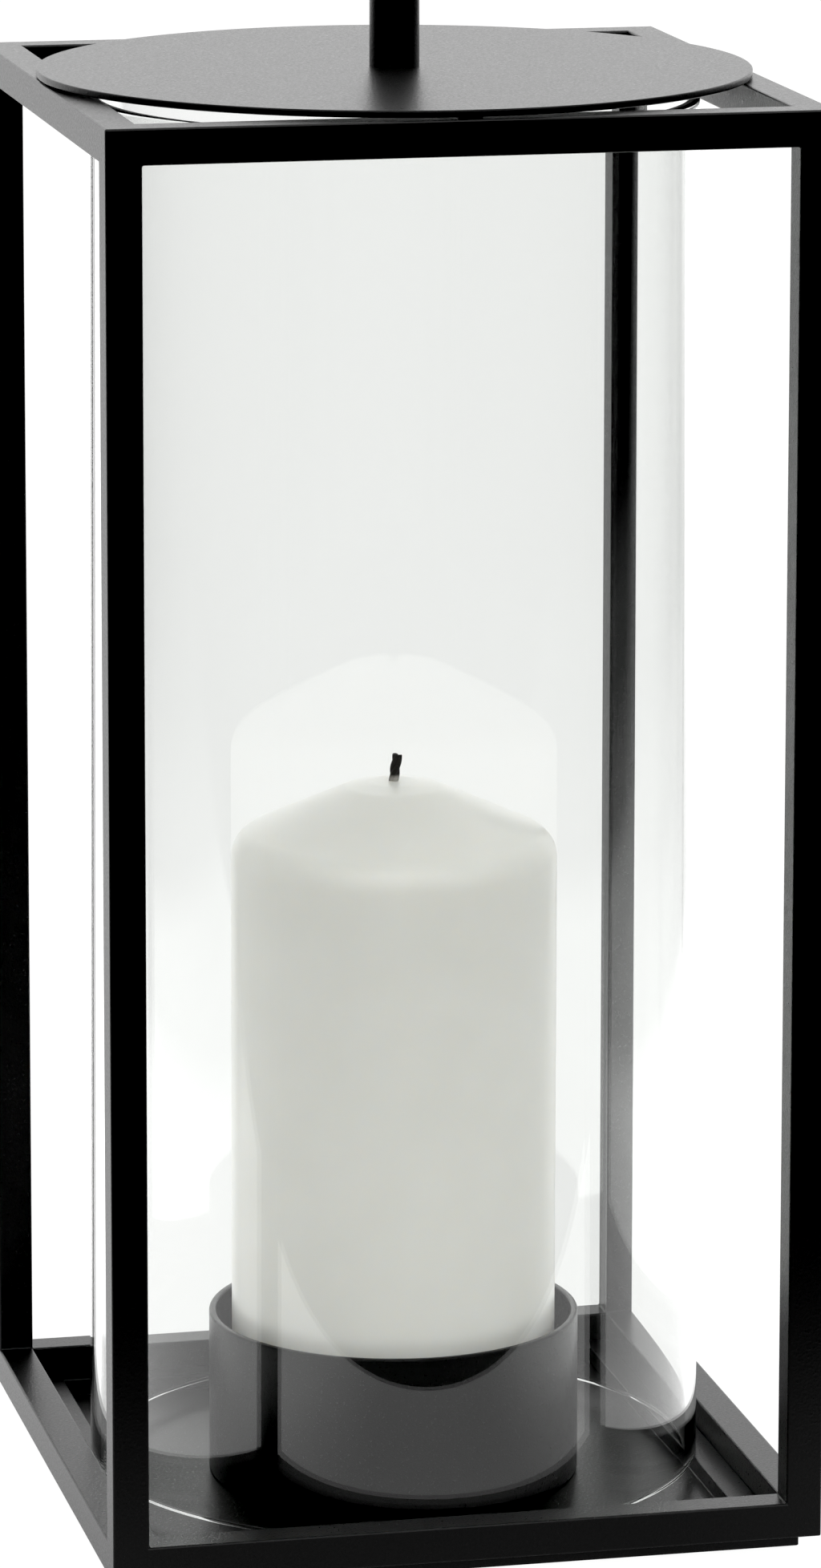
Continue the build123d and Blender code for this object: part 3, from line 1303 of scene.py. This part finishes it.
@dataclass
class Studio:
    """White backdrop behind and beside the lantern, soft light above, and a dark room in front.

    A straight or refracted look sees the table and the room almost white. Reflections and
    diffuse light meet the levels given here instead, by place on the table and by direction.
    On the table these levels are painted light: an emitted glow, strongest a little to either
    side and far back, where it stands in for a lit white backdrop, and none past the front
    edge. Reflections also meet a darker table colour than a straight look does: painted shade.
    """

    white: float = 1.03
    table_colour: str = "484846"
    # Painted shade: the darker table colour that reflections and diffuse light meet.
    table_colour_unseen: str = "101010"
    # Painted glow that the table emits for reflections, along its depth and towards the sides.
    table_depth: Levels = ((-0.257, 0.75), (0.10, 1.0))
    table_width: Levels = (
        (0.05, 0.9),
        (0.20, 1.6),
        (0.50, 1.6),
        (0.65, 0.5),
        (0.95, 0.25),
        (1.30, 0.0),
    )
    # Painted glow of the far table for reflections, standing in for a lit white backdrop.
    sweep_glow: float = 1.5
    sweep_spread: float = 1.3
    sweep_edge: tuple[float, float] = (-0.15, 0.25)
    table_seen: float = 0.985
    front_edge: float = -0.257
    reach: float = 9.0
    facing: Corner = (0.217, 0.976, 0.0)
    back_wall: float = 1.75
    side_wall: float = 0.6
    ceiling: float = 0.3
    soft_light: float = 2.95
    dark: float = 0.004
    front_heights: tuple[float, ...] = (0.22, 0.36, 0.58, 0.72)
    side_heights: tuple[float, float] = (0.02, 0.18)
    front_to_side: tuple[float, float] = (-0.60, -0.35)
    side_to_back: tuple[float, float] = (0.35, 0.60)
    lamp_place: Corner = (-0.116, -0.942, 1.385)
    lamp_target: Corner = (0.0, 0.0, 0.19)
    lamp_size: tuple[float, float] = (1.9, 0.12)
    lamp_power: float = 4.5

    def build(self) -> None:
        """Build the table and the room."""
        self.build_table("table_top", self.front_edge, self.reach, shows_painted_glow=True)
        self.build_table("table_apron", -self.reach, self.front_edge, shows_painted_glow=False)
        self.build_room()
        self.build_lamp()

    def build_lamp(self) -> None:
        """Hang the soft box over the front edge of the table."""
        data = bpy.data.lights.new("soft_box", "AREA")
        data.shape = "RECTANGLE"
        data.size, data.size_y = self.lamp_size
        data.energy = self.lamp_power
        lamp = bpy.data.objects.new("soft_box", data)
        lamp.location = self.lamp_place
        aim = Vector(self.lamp_target) - lamp.location
        lamp.rotation_euler = aim.to_track_quat("-Z", "Y").to_euler()
        bpy.context.scene.collection.objects.link(lamp)

    def seen_directly(self, tree: bpy.types.NodeTree) -> bpy.types.NodeSocket:
        """Give one for a straight or refracted look, and zero after a glossy or diffuse bounce."""
        path = add_node(tree, "ShaderNodeLightPath").outputs
        bounces = maths(tree, "ADD", path["Glossy Depth"], path["Diffuse Depth"])
        return maths(tree, "LESS_THAN", bounces, 0.5)

    def graded(
        self,
        tree: bpy.types.NodeTree,
        value: bpy.types.NodeSocket,
        stops: Sequence[tuple[float, object]],
    ) -> bpy.types.NodeSocket:
        """Run softly through a row of levels as a value grows.

        Args:
            tree: Node tree to add to.
            value: Socket that grows.
            stops: Pairs of a value and the level reached there, a number or a socket.

        Returns:
            The socket with the level.
        """
        level = stops[0][1]
        for (start, _), (end, target) in zip(stops, stops[1:]):
            share = add_node(
                tree,
                "ShaderNodeMapRange",
                {"interpolation_type": "SMOOTHSTEP"},
                {"Value": value, "From Min": start, "From Max": end},
            ).outputs["Result"]
            mixed = add_node(tree, "ShaderNodeMix", inputs={0: share, 2: level, 3: target})
            level = mixed.outputs[0]
        return level

    def build_table(self, name: str, front: float, back: float, shows_painted_glow: bool) -> None:
        """Build one part of the pale table top, with the painted glow that reflections meet on it.

        Args:
            name: The object's name.
            front: Its front edge on Y.
            back: Its back edge on Y.
            shows_painted_glow: Whether reflections meet its painted glow; if not, they see it dark.
        """
        bm = bmesh.new()
        spots = ((-self.reach, front), (self.reach, front), (self.reach, back), (-self.reach, back))
        bm.faces.new([bm.verts.new((x, y, 0)) for x, y in spots])
        table = place_mesh(name, bm)
        material, tree, shader = new_material(f"{name}_white")
        direct = self.seen_directly(tree)
        split = add_node(tree, "ShaderNodeSeparateXYZ", inputs={"Vector": object_place(tree)})
        depth = split.outputs["Y"]
        aside = maths(tree, "ABSOLUTE", split.outputs["X"])
        near = self.graded(tree, depth, self.table_depth)
        painted_glow_level = maths(tree, "MULTIPLY", near, self.graded(tree, aside, self.table_width))
        inside = maths(tree, "SUBTRACT", maths(tree, "MULTIPLY", depth, self.sweep_spread), aside)
        stops = zip(self.sweep_edge, (painted_glow_level, self.sweep_glow))
        painted_glow_level = self.graded(tree, inside, list(stops))
        # Painted light: reflections meet the painted glow level, a straight look an even white.
        glow = add_node(
            tree,
            "ShaderNodeMix",
            inputs={0: direct, 2: painted_glow_level if shows_painted_glow else 0.0, 3: self.table_seen},
        )
        values = {
            # Painted shade: reflections and diffuse light meet the darker table colour.
            "Base Color": blend(tree, direct, self.table_colour_unseen, self.table_colour),
            "Emission Strength": glow.outputs[0],
            "Emission Color": (1.0, 1.0, 1.0, 1.0),
            "Roughness": 0.9,
            "Specular IOR Level": 0.0,
        }
        fill(tree, shader, values)
        table.data.materials.append(material)

    def build_room(self) -> None:
        """Build the room's light by direction, white for a straight look."""
        world = bpy.data.worlds.new("studio_room")
        bpy.context.scene.world = world
        world.use_nodes = True
        tree = world.node_tree
        tree.nodes.clear()
        direction = add_node(tree, "ShaderNodeTexCoord").outputs["Generated"]
        split = add_node(tree, "ShaderNodeSeparateXYZ", inputs={"Vector": direction})
        up, back = split.outputs["Z"], split.outputs["Y"]
        facing = {0: direction, 1: self.facing}
        ahead = add_node(tree, "ShaderNodeVectorMath", {"operation": "DOT_PRODUCT"}, facing)
        ahead = ahead.outputs["Value"]
        front_levels = (self.dark, self.soft_light, self.soft_light, self.ceiling)
        front = self.graded(tree, up, list(zip(self.front_heights, front_levels)))
        side = self.graded(tree, up, list(zip(self.side_heights, (self.dark, self.side_wall))))
        level = self.graded(tree, back, list(zip(self.front_to_side, (front, side))))
        level = self.graded(tree, ahead, list(zip(self.side_to_back, (level, self.back_wall))))
        strength = add_node(
            tree, "ShaderNodeMix", inputs={0: self.seen_directly(tree), 2: level, 3: self.white}
        ).outputs[0]
        light = {"Color": (1.0, 1.0, 1.0, 1.0), "Strength": strength}
        glow = add_node(tree, "ShaderNodeBackground", inputs=light)
        add_node(tree, "ShaderNodeOutputWorld", inputs={"Surface": glow.outputs["Background"]})


@dataclass
class LanternCamera:
    """Long-lens view from the front left and a little above."""

    azimuth: float = -12.55
    pitch: float = 9.83
    roll: float = 0.07
    distance: float = 2.02527
    aside: float = 0.00464
    height: float = 0.65366
    lens: float = 167.49
    sensor: float = 36.0
    shift_y: float = -0.22

    def build(self) -> None:
        """Make the scene's camera."""
        a, e, r = (math.radians(v) for v in (self.azimuth, self.pitch, self.roll))
        forward = Vector((-math.sin(a) * math.cos(e), math.cos(a) * math.cos(e), -math.sin(e)))
        level = Vector((math.cos(a), math.sin(a), 0))
        upright = level.cross(forward)
        right = level * math.cos(r) + upright * math.sin(r)
        up = upright * math.cos(r) - level * math.sin(r)
        place = Vector(
            (
                math.sin(a) * self.distance + math.cos(a) * self.aside,
                -math.cos(a) * self.distance + math.sin(a) * self.aside,
                self.height,
            )
        )
        data = bpy.data.cameras.new("lantern_camera")
        data.sensor_width = self.sensor
        data.lens = self.lens
        data.shift_y = self.shift_y
        data.clip_start = 0.05
        data.clip_end = 50.0
        camera = bpy.data.objects.new("lantern_camera", data)
        turn = Matrix((right, up, -forward)).transposed().to_4x4()
        camera.matrix_world = Matrix.Translation(place) @ turn
        bpy.context.scene.collection.objects.link(camera)
        bpy.context.scene.camera = camera


def grade_view(black: float = 0.006) -> None:
    """Set a plain view with slightly deepened blacks.

    Args:
        black: Linear level that turns to pure black.
    """
    view = bpy.context.scene.view_settings
    view.view_transform = "Standard"
    view.use_curve_mapping = True
    view.curve_mapping.black_level = (black, black, black)


def main() -> None:
    """Build the lantern and its studio."""
    grade_view()
    LanternCamera().build()
    coat = PowderCoat().material()
    steel = BLACK_OXIDE.material()
    ring = ring_tree()
    WeldedFrame(coat).build()
    BaseTray(coat, WOOL_FELT.material(), steel, ring).build()
    CandleCup(coat, steel).build()
    GlassCylinder(ClearGlass().material()).build()
    char = CharredCotton(wax_top=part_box("candle_body")[1].z).material()
    PillarCandle(Paraffin().material(), char, strand_tree()).build()
    DiscLid(coat, SILICONE.material(), steel, ring).build()
    Studio().build()


if __name__ == "__main__":
    main()
